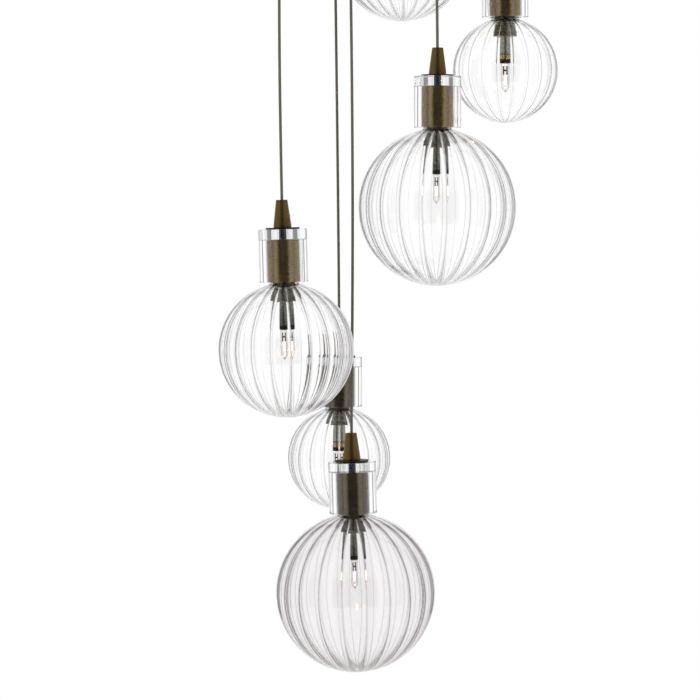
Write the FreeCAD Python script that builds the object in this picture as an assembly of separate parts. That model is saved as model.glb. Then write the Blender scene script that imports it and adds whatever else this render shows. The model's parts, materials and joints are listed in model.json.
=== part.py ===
import FreeCAD, Part
import math
import os

Vector = FreeCAD.Vector

# A cluster pendant: six clear ribbed glass globes hang at six heights from one round ceiling canopy.
# Millimetres, +Z up. The origin is the middle of the ceiling plate's top face, on the ceiling, so the
# whole lamp hangs below Z = 0. The front is -Y, and +X is on the right of a viewer at the front.

# ---- Canopy: a spun brass dish on a steel plate, guessed, since it hangs above the photograph ----
CANOPY_RADIUS = 185.0
CANOPY_DEPTH = 30.0
CANOPY_WALL = 1.5
CANOPY_CORNER = 5.0
CANOPY_GAP = 1.0            # between the rim and the ceiling
PLATE_RADIUS = 60.0
PLATE_THICKNESS = 2.5
PLATE_ARM_WIDTH = 34.0
PLATE_TAB_HEIGHT = 17.0
PLATE_TAB_WIDTH = 20.4
PLATE_RIM_GAP = 1.0         # between the tabs and the inside of the rim
PLATE_ARM_ANGLES = (30.0, 150.0, 270.0)
CABLE_HOLE_RADIUS = 11.0
MOUNT_PCD = 88.9            # two pairs of ceiling screws, as on a round ceiling box
MOUNT_HOLE_RADIUS = 2.75
MOUNT_HOLES = 4
RIM_SCREW_RADIUS = 2.0
RIM_SCREW_LENGTH = 9.0
RIM_SCREW_HEAD_RADIUS = 4.5
RIM_SCREW_HEAD = 4.0
RIM_SCREW_DROP = 11.0       # below the ceiling
RIM_HOLE_GAP = 0.3          # round a rim screw, in the shell
MOUNT_ANGLE = 45.0          # of the first ceiling screw
BLOCK_WAYS = 3              # of the terminal block
BLOCK_PITCH = 12.0
BLOCK_DEPTH = 20.0
BLOCK_HEIGHT = 13.0
BLOCK_PLACE = (-8.0, -34.0)
CLAMP_RADIUS = 3.5
CLAMP_GAP = 0.1             # round a clamp, in the block
CLAMP_BORE_RADIUS = 2.2
CLAMP_INSET = 2.0           # from the block's front and back
CUT_MARGIN = 1.0            # how far a cutting shape runs past what it cuts

# ---- Cord entries in the canopy ----
GLAND_FLANGE_RADIUS = 9.0
GLAND_FLANGE = 3.0
GLAND_NOSE_RADIUS = 6.5
GLAND_NOSE_END_RADIUS = 5.0
GLAND_NOSE = 9.0
GLAND_HOLE_GAP = 0.2        # round a gland's shank, in the shell
GLAND_SHANK_RADIUS = 6.0
GLAND_SHANK = 9.0           # inside the canopy, above its face
GLAND_BORE_RADIUS = 4.3
GLAND_MOUTH_RADIUS = 3.2
GLAND_LIP = 1.5
NUT_ACROSS_FLATS = 17.0
NUT_HEIGHT = 4.0
BUSH_RADIUS = 4.0
BUSH_BORE_RADIUS = 2.1
BUSH_HEIGHT = 4.0
PIVOT_BELOW_FACE = 7.0      # from the canopy's face down to the middle of the bush

# ---- Head of each pendant, measured down from the top of the cord grip ----
CORD_RADIUS = 1.8
CORD_ABOVE_PIVOT = 12.0     # where the cord starts, inside the canopy
CORD_END = 46.0             # where the cord ends, inside the stem
GRIP_TOP_RADIUS = 7.0
GRIP_BASE_RADIUS = 11.0
GRIP_BORE_RADIUS = 2.4
GRIP_CONE = 31.0            # height of the tapered part, above the straight foot
GRIP_HEIGHT = 34.0
STEM_TOP = 18.0
STEM_END = 62.0
STEM_RADIUS = 5.0
STEM_BORE_RADIUS = 3.5
STEM_HOLE_RADIUS = 5.2
FLANGE_RADIUS = 21.0
FLANGE_THICKNESS = 2.0
SLEEVE_RADIUS = 30.0
SLEEVE_HEIGHT = 65.0
SLEEVE_SOLID_TOP = 12.5
SLEEVE_BORE_RADIUS = 20.6
SLEEVE_EDGE = 1.0
CUP_RADIUS = 20.0
CUP_WALL = 1.6
CUP_TOP = 2.0
CUP_SKIRT_GAP = 0.5         # the skirt ends this far above the sleeve's lower face
SLEEVE_TOP = GRIP_HEIGHT + FLANGE_THICKNESS
SLEEVE_END = SLEEVE_TOP + SLEEVE_HEIGHT
CUP_START = SLEEVE_TOP + SLEEVE_SOLID_TOP

# ---- Lampholder and bulb, on the head's axis ----
STEM_NUT_FLATS = 14.0
STEM_NUT_HEIGHT = 4.0
HOLDER_TUBE_RADIUS = 8.0
HOLDER_TUBE_WALL = 0.8
HOLDER_LENGTH = 58.5        # below the sleeve
COLLAR_RADIUS = 14.0
COLLAR_HEIGHT = 17.0
RING_RADIUS = 15.0
RING_HEIGHT = 7.0
INSERT_LENGTH = 30.0
INSERT_RECESS = 1.0
POCKET_WIDTH = 12.0
POCKET_THICKNESS = 5.0
POCKET_DEPTH = 11.0
PIN_HOLE_RADIUS = 1.5
PIN_RADIUS = 0.6
PIN_SPACING = 9.0
PIN_LENGTH = 7.0
PIN_HOLE_DEPTH = 9.0
BULB_RADIUS = 6.4
BULB_WALL = 0.9
BULB_GAP = 0.7              # between the holder's end and the envelope
BULB_LENGTH = 37.5
BULB_TIP_RADIUS = 1.5
BULB_TIP_END_RADIUS = 0.75
BULB_TIP_ROOT = 1.0         # how far the tip starts inside the rounded end
BULB_TIP_LENGTH = 2.5
BULB_PLUG = 3.0             # the pressed base's round part, inside the envelope's mouth
BASE_WIDTH = 11.0
BASE_THICKNESS = 3.8
BASE_HEIGHT = 10.0
FILAMENT_RADIUS = 1.1
FILAMENT_LENGTH = 15.0
FILAMENT_DROP = 5.0
FILAMENT_LEG = 0.35
FILAMENT_SPREAD = 3.0

# ---- Glass globes ----
GLOBE_RADIUS = {"large": 100.0, "medium": 83.5, "small": 67.5}
GLOBE_RIBS = 20
GLOBE_WALL = 2.5            # midway between two ribs
GLOBE_RINGS = 17            # outlines of the hollow from neck to pole, joined by ruled bands
BOW_STEPS = 4
RIB_SHARE = 0.025           # how far a rib stands in from the wall, as a share of the globe's radius
RIB_ONSET = 0.12            # how fast the ribs rise away from either pole
POLE_RADIUS = 3.0
NECK_RADIUS = 18.0
NECK_WALL = 2.2
NECK_HEIGHT = 22.0          # above the sleeve's lower face, inside the cup
GLOBE_GAP = 0.3             # between the sleeve and the globe

# Distance from the top of the cord grip down to a pendant's centre of mass, by size. Each head hangs
# with that point plumb under its gland.
BALANCE = {"large": 158.6, "medium": 136.8, "small": 116.7}

# ---- The six pendants ----
# hang: place of the gland. grip: height of the cord grip's top. lean: how far the head stands off
# plumb, in degrees, lower end to +X. rib: turn of the globe, in degrees, from a rib at the front
# towards +X. route: the cord's points between gland and grip, as (X off the gland, Z).
PENDANTS = {
    1: {"size": "medium", "hang": (17.9, 100.0), "grip": -152.4, "lean": 0.3, "rib": 0.0,
        "route": ((0.6, -92.0),)},
    2: {"size": "small", "hang": (148.8, 75.0), "grip": -317.5, "lean": -0.2, "rib": 12.0,
        "route": ((-0.8, -130.0), (0.6, -235.0))},
    3: {"size": "large", "hang": (58.4, 13.0), "grip": -459.8, "lean": -0.6, "rib": 6.8,
        "route": ((0.5, -180.0), (0.7, -330.0))},
    4: {"size": "medium", "hang": (-133.6, -95.0), "grip": -650.6, "lean": 1.15, "rib": 3.0,
        "route": ((-0.6, -220.0), (-4.2, -440.0))},
    5: {"size": "small", "hang": (-69.0, 143.0), "grip": -820.2, "lean": -0.6, "rib": 0.0,
        "route": ((-0.3, -290.0), (1.0, -570.0))},
    6: {"size": "large", "hang": (-50.5, -32.0), "grip": -943.3, "lean": 1.1, "rib": 6.5,
        "route": ((0.9, -290.0), (2.2, -560.0), (0.2, -790.0))},
}

CANOPY_FACE = -(CANOPY_GAP + CANOPY_DEPTH)
PIVOT_Z = CANOPY_FACE - PIVOT_BELOW_FACE
CORD_TOP = PIVOT_Z + CORD_ABOVE_PIVOT
CORD_ARC_SHARE = 0.45


# ---------------------------------------------------------------- shapes

def polar(radius, degrees, z):
    """A point at a radius and an angle from +X."""
    angle = math.radians(degrees)
    return Vector(radius * math.cos(angle), radius * math.sin(angle), z)


def disc(radius, low, high, centre=(0.0, 0.0)):
    """An upright solid cylinder."""
    return Part.makeCylinder(radius, high - low, Vector(centre[0], centre[1], low))


def ring(outer, inner, low, high, centre=(0.0, 0.0)):
    """An upright tube."""
    return disc(outer, low, high, centre).cut(disc(inner, low - CUT_MARGIN, high + CUT_MARGIN, centre))


def turned(profile):
    """A solid of revolution about Z from (radius, z) points."""
    points = [Vector(r, 0.0, z) for r, z in profile]
    face = Part.Face(Part.makePolygon(points + points[:1]))
    return face.revolve(Vector(0, 0, 0), Vector(0, 0, 1), 360.0)


def hex_nut(flats, bore, low, high, centre=(0.0, 0.0)):
    """A hexagonal nut with a plain bore."""
    corners = [polar(flats / math.sqrt(3.0), 60.0 * n, low) + Vector(centre[0], centre[1], 0.0)
               for n in range(7)]
    body = Part.Face(Part.makePolygon(corners)).extrude(Vector(0, 0, high - low))
    return body.cut(disc(bore, low - CUT_MARGIN, high + CUT_MARGIN, centre))


def block(width, depth, low, high):
    """An upright box centred on Z."""
    return Part.makeBox(width, depth, high - low, Vector(-width / 2, -depth / 2, low))


# ---------------------------------------------------------------- canopy

def gland_places():
    """Where the six cords leave the canopy's face."""
    return [pendant["hang"] for pendant in PENDANTS.values()]


def canopy_shell():
    """The dish: open towards the ceiling, with six gland holes and three rim screw holes."""
    outer = disc(CANOPY_RADIUS, CANOPY_FACE, -CANOPY_GAP)
    outer = outer.makeFillet(CANOPY_CORNER, [lowest_edge(outer)])
    inner = disc(CANOPY_RADIUS - CANOPY_WALL, CANOPY_FACE + CANOPY_WALL, 0.0)
    inner = inner.makeFillet(CANOPY_CORNER - CANOPY_WALL, [lowest_edge(inner)])
    shell = outer.cut(inner)
    for place in gland_places():
        shell = shell.cut(disc(GLAND_SHANK_RADIUS + GLAND_HOLE_GAP, CANOPY_FACE - CUT_MARGIN, 0.0, place))
    through_rim = CANOPY_WALL + 2 * CUT_MARGIN
    for angle in PLATE_ARM_ANGLES:
        hole = rim_bar(RIM_SCREW_RADIUS + RIM_HOLE_GAP, CANOPY_RADIUS + CUT_MARGIN - through_rim,
                       through_rim, angle)
        shell = shell.cut(hole)
    return shell


def lowest_edge(solid):
    """The round edge at a disc's foot."""
    return min(solid.Edges, key=lambda edge: edge.CenterOfMass.z)


def rim_bar(radius, start, length, angle):
    """A bar that points outwards through the rim, at a plate arm."""
    return Part.makeCylinder(radius, length, polar(start, angle, -RIM_SCREW_DROP),
                             polar(1.0, angle, 0.0))


def ceiling_plate():
    """A steel disc with three arms, each bent down at the rim to take a screw."""
    plate = disc(PLATE_RADIUS, -PLATE_THICKNESS, 0.0)
    reach = CANOPY_RADIUS - CANOPY_WALL - PLATE_RIM_GAP
    for angle in PLATE_ARM_ANGLES:
        arm = Part.makeBox(reach, PLATE_ARM_WIDTH, PLATE_THICKNESS,
                           Vector(0.0, -PLATE_ARM_WIDTH / 2, -PLATE_THICKNESS))
        tab = Part.makeBox(PLATE_THICKNESS, PLATE_TAB_WIDTH, PLATE_TAB_HEIGHT,
                           Vector(reach - PLATE_THICKNESS, -PLATE_TAB_WIDTH / 2, -PLATE_TAB_HEIGHT))
        arm = arm.fuse(tab)
        arm.rotate(Vector(0, 0, 0), Vector(0, 0, 1), angle)
        plate = plate.fuse(arm)
    for angle in PLATE_ARM_ANGLES:
        through_tab = PLATE_THICKNESS + 2 * CUT_MARGIN
        plate = plate.cut(rim_bar(RIM_SCREW_RADIUS, reach + CUT_MARGIN - through_tab, through_tab, angle))
    low = -PLATE_THICKNESS - CUT_MARGIN
    plate = plate.cut(disc(CABLE_HOLE_RADIUS, low, CUT_MARGIN))
    for n in range(MOUNT_HOLES):
        hole = polar(MOUNT_PCD / 2, MOUNT_ANGLE + n * 360.0 / MOUNT_HOLES, 0.0)
        plate = plate.cut(disc(MOUNT_HOLE_RADIUS, low, CUT_MARGIN, (hole.x, hole.y)))
    return plate.removeSplitter()


def rim_screws():
    """Three knurled screws that hold the canopy's rim to the plate."""
    screws = []
    for angle in PLATE_ARM_ANGLES:
        shank = rim_bar(RIM_SCREW_RADIUS, CANOPY_RADIUS - RIM_SCREW_LENGTH, RIM_SCREW_LENGTH, angle)
        head = rim_bar(RIM_SCREW_HEAD_RADIUS, CANOPY_RADIUS, RIM_SCREW_HEAD, angle)
        screws.append(shank.fuse(head).removeSplitter())
    return screws


def cord_glands():
    """Six turned brass entries: flange and nose below the canopy, threaded shank above."""
    face = CANOPY_FACE
    nose_end = face - GLAND_FLANGE - GLAND_NOSE
    profile = (
        (GLAND_BORE_RADIUS, face + GLAND_SHANK),
        (GLAND_SHANK_RADIUS, face + GLAND_SHANK),
        (GLAND_SHANK_RADIUS, face),
        (GLAND_FLANGE_RADIUS, face),
        (GLAND_FLANGE_RADIUS, face - GLAND_FLANGE),
        (GLAND_NOSE_RADIUS, face - GLAND_FLANGE),
        (GLAND_NOSE_END_RADIUS, nose_end),
        (GLAND_MOUTH_RADIUS, nose_end),
        (GLAND_MOUTH_RADIUS, nose_end + GLAND_LIP),
        (GLAND_BORE_RADIUS, nose_end + GLAND_LIP),
    )
    glands = []
    for x, y in gland_places():
        gland = turned(profile)
        gland.translate(Vector(x, y, 0.0))
        glands.append(gland)
    return glands


def gland_nuts():
    """Six hexagonal lock nuts, inside the canopy."""
    low = CANOPY_FACE + CANOPY_WALL
    return [hex_nut(NUT_ACROSS_FLATS, GLAND_SHANK_RADIUS, low, low + NUT_HEIGHT, place)
            for place in gland_places()]


def terminal_block():
    """A three-way terminal block on the plate: an insulating body and its brass clamps."""
    low = -PLATE_THICKNESS - BLOCK_HEIGHT
    place = Vector(BLOCK_PLACE[0], BLOCK_PLACE[1], 0.0)
    body = block(BLOCK_WAYS * BLOCK_PITCH, BLOCK_DEPTH, low, -PLATE_THICKNESS)
    body.translate(place)
    clamps = []
    for n in range(BLOCK_WAYS):
        across = (n - (BLOCK_WAYS - 1) / 2) * BLOCK_PITCH
        middle = place + Vector(across, 0.0, low + BLOCK_HEIGHT / 2)
        body = body.cut(deep_bar(CLAMP_RADIUS + CLAMP_GAP, BLOCK_DEPTH + 2 * CUT_MARGIN, middle))
        clamp = deep_bar(CLAMP_RADIUS, BLOCK_DEPTH - 2 * CLAMP_INSET, middle)
        clamps.append(clamp.cut(deep_bar(CLAMP_BORE_RADIUS, BLOCK_DEPTH, middle)))
    return [body] + clamps


def deep_bar(radius, length, middle):
    """A bar along Y about its middle."""
    return Part.makeCylinder(radius, length, middle - Vector(0, length / 2, 0), Vector(0, 1, 0))


# ---------------------------------------------------------------- pendants

def head_place(pendant):
    """Where a head's own frame stands: its origin at the grip's top, turned by the head's lean."""
    x, y = pendant["hang"]
    off_plumb = BALANCE[pendant["size"]] * math.sin(math.radians(pendant["lean"]))
    turn = FreeCAD.Rotation(Vector(0, 1, 0), -pendant["lean"])
    return FreeCAD.Placement(Vector(x - off_plumb, y, pendant["grip"]), turn)


def placed(solids, pendant):
    """A head's solids, moved from the head's own frame to where they hang."""
    place = head_place(pendant)
    for solid in solids:
        solid.Placement = place.multiply(solid.Placement)
    return solids


def cord_points(pendant):
    """The cord's route: down from the gland, then into the cord grip and along the head's axis."""
    x, y = pendant["hang"]
    place = head_place(pendant)
    points = [Vector(x, y, CORD_TOP)]
    points += [Vector(x + off, y, z) for off, z in pendant["route"]]
    points.append(place.multVec(Vector(0, 0, 0)))
    points.append(place.multVec(Vector(0, 0, -CORD_END)))
    return points


def rounded_path(points):
    """Straight runs joined by tangent arcs, as one wire, with the arcs' radii."""
    edges = []
    radii = []
    start = points[0]
    for before, corner, after in zip(points, points[1:], points[2:]):
        incoming = (corner - before).normalize()
        outgoing = (after - corner).normalize()
        half_turn = incoming.getAngle(outgoing) / 2
        reach = CORD_ARC_SHARE * min((corner - before).Length, (after - corner).Length)
        radius = reach / math.tan(half_turn)
        enter = corner - incoming * reach
        leave = corner + outgoing * reach
        towards_centre = (outgoing - incoming).normalize()
        middle = corner + towards_centre * (radius / math.cos(half_turn) - radius)
        edges.append(Part.LineSegment(start, enter).toShape())
        edges.append(Part.Arc(enter, middle, leave).toShape())
        radii.append(radius)
        start = leave
    edges.append(Part.LineSegment(start, points[-1]).toShape())
    return Part.Wire(edges), radii


def cord(pendant):
    """The cord, as a tube along its route."""
    points = cord_points(pendant)
    path, radii = rounded_path(points)
    direction = points[1] - points[0]
    section = Part.Wire(Part.makeCircle(CORD_RADIUS, points[0], direction))
    tube = path.makePipeShell([section], True, False)
    expected = math.pi * CORD_RADIUS ** 2 * path.Length
    print("  cord length %.1f mm, volume %.4f of section x length, least radius %.0f mm"
          % (path.Length, tube.Volume / expected, min(radii)))
    return [tube]


def cord_grip():
    """The turned brass cone that the cord comes out of."""
    return [turned((
        (GRIP_BORE_RADIUS, 0.0),
        (GRIP_TOP_RADIUS, 0.0),
        (GRIP_BASE_RADIUS, -GRIP_CONE),
        (GRIP_BASE_RADIUS, -GRIP_HEIGHT),
        (STEM_RADIUS, -GRIP_HEIGHT),
        (STEM_RADIUS, -STEM_TOP),
        (GRIP_BORE_RADIUS, -STEM_TOP),
    ))]


def flange_disc():
    """The thin dark disc between the cord grip and the sleeve."""
    return [ring(FLANGE_RADIUS, STEM_HOLE_RADIUS, -SLEEVE_TOP, -GRIP_HEIGHT)]


def clear_sleeve():
    """The thick clear body: solid at the top, bored from below for the brass cup."""
    return [turned((
        (STEM_HOLE_RADIUS, -SLEEVE_TOP),
        (SLEEVE_RADIUS - SLEEVE_EDGE, -SLEEVE_TOP),
        (SLEEVE_RADIUS, -SLEEVE_TOP - SLEEVE_EDGE),
        (SLEEVE_RADIUS, -SLEEVE_END + SLEEVE_EDGE),
        (SLEEVE_RADIUS - SLEEVE_EDGE, -SLEEVE_END),
        (SLEEVE_BORE_RADIUS, -SLEEVE_END),
        (SLEEVE_BORE_RADIUS, -CUP_START),
        (STEM_HOLE_RADIUS, -CUP_START),
    ))]


def lamp_cup():
    """The brass cup in the sleeve's bore. The globe's neck screws into it."""
    return [turned((
        (STEM_HOLE_RADIUS, -CUP_START),
        (CUP_RADIUS, -CUP_START),
        (CUP_RADIUS, -SLEEVE_END + CUP_SKIRT_GAP),
        (CUP_RADIUS - CUP_WALL, -SLEEVE_END + CUP_SKIRT_GAP),
        (CUP_RADIUS - CUP_WALL, -CUP_START - CUP_TOP),
        (STEM_HOLE_RADIUS, -CUP_START - CUP_TOP),
    ))]


def lampholder():
    """Threaded stem, nut, carrier tube, collar, ring, end tube and ceramic insert, one solid each."""
    nut_top = -CUP_START - CUP_TOP
    carrier_top = nut_top - STEM_NUT_HEIGHT
    collar_end = -SLEEVE_END - COLLAR_HEIGHT
    tube_inner = HOLDER_TUBE_RADIUS - HOLDER_TUBE_WALL
    holder_end = -SLEEVE_END - HOLDER_LENGTH
    stem = ring(STEM_RADIUS, STEM_BORE_RADIUS, -STEM_END, -STEM_TOP)
    nut = hex_nut(STEM_NUT_FLATS, STEM_RADIUS, carrier_top, nut_top)
    carrier = ring(HOLDER_TUBE_RADIUS, STEM_RADIUS, -SLEEVE_END, carrier_top)
    collar = ring(COLLAR_RADIUS, HOLDER_TUBE_RADIUS, collar_end, -SLEEVE_END)
    clamp_ring = ring(RING_RADIUS, HOLDER_TUBE_RADIUS, collar_end - RING_HEIGHT, collar_end)
    tube = ring(HOLDER_TUBE_RADIUS, tube_inner, holder_end, -SLEEVE_END)
    return [stem, nut, carrier, collar, clamp_ring, tube, ceramic_insert(tube_inner, holder_end)]


def ceramic_insert(radius, holder_end):
    """The insert that the bulb's two pins push into."""
    low = holder_end + INSERT_RECESS
    insert = disc(radius, low, low + INSERT_LENGTH)
    insert = insert.cut(block(POCKET_WIDTH, POCKET_THICKNESS, low - CUT_MARGIN, low + POCKET_DEPTH))
    for side in (-1, 1):
        place = (side * PIN_SPACING / 2, 0.0)
        insert = insert.cut(disc(PIN_HOLE_RADIUS, low, low + POCKET_DEPTH + PIN_HOLE_DEPTH, place))
    return insert


def bulb():
    """A two-pin capsule bulb: envelope, pressed base, pins and filament, one solid each."""
    top = -SLEEVE_END - HOLDER_LENGTH - BULB_GAP
    low = top - BULB_LENGTH + BULB_TIP_LENGTH
    waist = low + BULB_RADIUS
    inner = BULB_RADIUS - BULB_WALL
    outside = disc(BULB_RADIUS, waist, top).fuse(
        Part.makeSphere(BULB_RADIUS, Vector(0, 0, waist)))
    tip = Part.makeCone(BULB_TIP_RADIUS, BULB_TIP_END_RADIUS, BULB_TIP_LENGTH + BULB_TIP_ROOT,
                        Vector(0, 0, low + BULB_TIP_ROOT), Vector(0, 0, -1))
    hollow = disc(inner, waist, top + CUT_MARGIN).fuse(Part.makeSphere(inner, Vector(0, 0, waist)))
    envelope = outside.fuse(tip).cut(hollow).removeSplitter()
    plug = disc(inner, top - BULB_PLUG, top)
    base = block(BASE_WIDTH, BASE_THICKNESS, top, top + BASE_HEIGHT).fuse(plug).removeSplitter()
    pins = [disc(PIN_RADIUS, top + BASE_HEIGHT, top + BASE_HEIGHT + PIN_LENGTH,
                 (side * PIN_SPACING / 2, 0.0)) for side in (-1, 1)]
    filament_top = top - BULB_PLUG - FILAMENT_DROP
    filament = disc(FILAMENT_RADIUS, filament_top - FILAMENT_LENGTH, filament_top)
    for side, arm_z in ((-1, filament_top), (1, filament_top - FILAMENT_LENGTH)):
        leg = disc(FILAMENT_LEG, arm_z, top - BULB_PLUG, (side * FILAMENT_SPREAD, 0.0))
        arm = Part.makeCylinder(FILAMENT_LEG, FILAMENT_SPREAD, Vector(0, 0, arm_z), Vector(side, 0, 0))
        filament = filament.fuse(leg).fuse(arm)
    return [envelope, base] + pins + [filament.removeSplitter()]


# ---------------------------------------------------------------- globe

def ribbed_ring(radius, rib, z, turn):
    """A flat closed outline of edges that bow outwards, with a rib pointing inwards between each two."""
    step = 360.0 / GLOBE_RIBS
    shares = [n / BOW_STEPS for n in range(BOW_STEPS + 1)]
    edges = []
    for n in range(GLOBE_RIBS):
        points = [polar(radius - rib * (2 * share - 1) ** 2, turn + (n + share) * step, z)
                  for share in shares]
        curve = Part.BSplineCurve()
        curve.interpolate(Points=points, Parameters=shares)
        edges.append(curve.toShape())
    return Part.Wire(edges)


def rib_height(radius, tallest, start):
    """A rib's height at this distance from the axis: none at start, then soon its tallest."""
    return tallest * (1.0 - math.exp(-RIB_ONSET * max(radius - start, 0.0) / tallest))


def hollow_rings(sphere, neck, tallest, centre, turn):
    """Outlines of the globe's hollow at levels from its neck to its lower pole."""
    first = math.asin(neck / sphere)
    last = math.pi - math.asin(POLE_RADIUS / sphere)
    rings = []
    for n in range(GLOBE_RINGS):
        angle = first + (last - first) * n / (GLOBE_RINGS - 1)
        radius = sphere * math.sin(angle)
        plain_radius = neck if angle < math.pi / 2 else 0.0
        rib = rib_height(radius, tallest, plain_radius)
        rings.append(ribbed_ring(radius, rib, centre + sphere * math.cos(angle), turn))
    return rings


def globe(pendant):
    """A blown globe with a plain neck: round and smooth outside, ribbed from neck to pole inside."""
    sphere = GLOBE_RADIUS[pendant["size"]]
    centre = -SLEEVE_END - GLOBE_GAP - sphere
    mouth = -SLEEVE_END + NECK_HEIGHT
    turn = -90.0 + pendant["rib"]
    inner_neck = NECK_RADIUS - NECK_WALL
    outside = Part.makeSphere(sphere, Vector(0.0, 0.0, centre)).fuse(disc(NECK_RADIUS, centre, mouth))
    rings = hollow_rings(sphere - GLOBE_WALL, inner_neck, RIB_SHARE * sphere, centre, turn)
    above_mouth = ribbed_ring(inner_neck, 0.0, mouth + CUT_MARGIN, turn)
    hollow = Part.makeLoft([above_mouth] + rings, True, True)
    return [outside.cut(hollow)]


def swing_bush(pendant):
    """The rubber bush round the cord, in its gland. The pendant swings about its middle."""
    low = PIVOT_Z - BUSH_HEIGHT / 2
    return [ring(BUSH_RADIUS, BUSH_BORE_RADIUS, low, low + BUSH_HEIGHT, pendant["hang"])]


# ---------------------------------------------------------------- output

def export(name, solids):
    """Write a node's solids to its STEP file and print what it holds."""
    shape = Part.makeCompound(solids) if len(solids) > 1 else solids[0]
    shape.exportStep("parts/%s.step" % name)
    good = all(solid.isValid() and len(solid.Solids) == 1 for solid in solids)
    print("%-18s %2d solids %10.1f mm3 %s" % (name, len(solids), shape.Volume, "ok" if good else "BAD"))


def main():
    """Write every node: the canopy's six, then each pendant's nine."""
    os.makedirs("parts", exist_ok=True)
    export("canopy_shell", [canopy_shell()])
    export("ceiling_plate", [ceiling_plate()])
    export("rim_screws", rim_screws())
    export("cord_glands", cord_glands())
    export("gland_nuts", gland_nuts())
    export("terminal_block", terminal_block())
    for number, pendant in PENDANTS.items():
        export("swing_bush_%d" % number, swing_bush(pendant))
        export("cord_%d" % number, cord(pendant))
        export("cord_grip_%d" % number, placed(cord_grip(), pendant))
        export("flange_disc_%d" % number, placed(flange_disc(), pendant))
        export("clear_sleeve_%d" % number, placed(clear_sleeve(), pendant))
        export("lamp_cup_%d" % number, placed(lamp_cup(), pendant))
        export("lampholder_%d" % number, placed(lampholder(), pendant))
        export("bulb_%d" % number, placed(bulb(), pendant))
        export("globe_%d" % number, placed(globe(pendant), pendant))


main()
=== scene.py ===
"""Looks of a cluster pendant: six ribbed glass globes of three sizes under clear sleeves with brass cups,
hung on dark cords from a round brass canopy. Metres, Z up, the origin on the ceiling, the front at -Y."""

import json
import math

import bmesh
import bpy
from mathutils import Matrix, Vector


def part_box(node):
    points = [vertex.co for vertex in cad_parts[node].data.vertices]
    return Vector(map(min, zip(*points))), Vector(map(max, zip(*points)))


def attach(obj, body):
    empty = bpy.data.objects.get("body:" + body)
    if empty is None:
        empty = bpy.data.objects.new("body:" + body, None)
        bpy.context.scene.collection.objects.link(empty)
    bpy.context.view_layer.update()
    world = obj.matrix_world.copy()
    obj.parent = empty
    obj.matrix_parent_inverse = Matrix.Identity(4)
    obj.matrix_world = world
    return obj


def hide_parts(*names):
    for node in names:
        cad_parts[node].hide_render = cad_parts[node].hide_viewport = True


MM = 0.001
PENDANT_NUMBERS = (1, 2, 3, 4, 5, 6)

# ---- The photograph's camera ----
CAMERA_PLACE = Vector((-0.054, -3.664, -0.670))
CAMERA_PITCH = 2.665        # degrees below the horizon
CAMERA_ROLL = 0.5           # degrees; plumb lines lean with the lower end to the right
PHOTO_PIXELS = 700
FOCAL_PIXELS = 2900
SENSOR_WIDTH = 36.0

# ---- Canopy and cord entries, in millimetres ----
CANOPY_RADIUS = 185.0
CANOPY_TOP = -1.0
CANOPY_FACE = -31.0
CANOPY_WALL = 1.5
CANOPY_CORNER = 5.0
GLAND_FLANGE_RADIUS = 9.0
GLAND_FLANGE = 3.0
GLAND_NOSE_RADIUS = 6.5
GLAND_NOSE_END_RADIUS = 5.0
GLAND_NOSE = 9.0
GLAND_SHANK_RADIUS = 6.0
GLAND_SHANK = 9.0
GLAND_BORE_RADIUS = 4.3
GLAND_MOUTH_RADIUS = 3.2
GLAND_LIP = 1.5
BUSH_RADIUS = 4.0
BUSH_BORE_RADIUS = 2.1
BUSH_HEIGHT = 4.0
NUT_FLATS = 17.0
NUT_HEIGHT = 4.0
SCREW_HEAD_RADIUS = 4.5
SCREW_HEAD = 4.0
SCREW_SHANK_RADIUS = 2.0
SCREW_SHANK = 9.0
SCREW_DROP = -11.0
SCREW_ANGLES = (30.0, 150.0, 270.0)

# ---- Head of a pendant, in millimetres down from the top of the cord grip ----
CORD_RADIUS = 1.8
CORD_END = 46.0
CORD_TOP = -26.0            # height of the cord's start, inside the canopy
GRIP_TOP_RADIUS = 7.0
GRIP_BASE_RADIUS = 11.0
GRIP_BORE_RADIUS = 2.4
GRIP_CONE = 31.0
GRIP_HEIGHT = 34.0
STEM_TOP = 18.0
STEM_END = 62.0
STEM_RADIUS = 5.0
STEM_BORE_RADIUS = 3.5
STEM_HOLE_RADIUS = 5.2
FLANGE_RADIUS = 21.0
SLEEVE_TOP = 36.0
SLEEVE_END = 101.0
SLEEVE_RADIUS = 30.0
SLEEVE_BORE_RADIUS = 20.6
CUP_START = 48.5
CUP_END = 100.5
CUP_RADIUS = 20.0
CUP_WALL = 1.6
CUP_TOP = 2.0
STEM_NUT_FLATS = 14.0
STEM_NUT_HEIGHT = 4.0
HOLDER_RADIUS = 8.0
HOLDER_WALL = 0.8
HOLDER_END = 159.5
COLLAR_RADIUS = 14.0
COLLAR_END = 118.0
COLLAR_RIDGES = 6
RING_RADIUS = 15.0
RING_END = 125.0
RING_RIDGES = 2
RIDGE_DEPTH = 0.6
RIDGE_SHARES = (0.7, 0.78, 0.92)    # of the pitch: where a ridge ends, and its groove's floor
INSERT_LENGTH = 30.0
INSERT_RECESS = 1.0         # how far the insert's face stands in from the tube's end
SOCKET_DEPTH = 11.0
SOCKET_RADIUS = 5.0
SOCKET_MOUTH_RADIUS = 6.0

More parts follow.
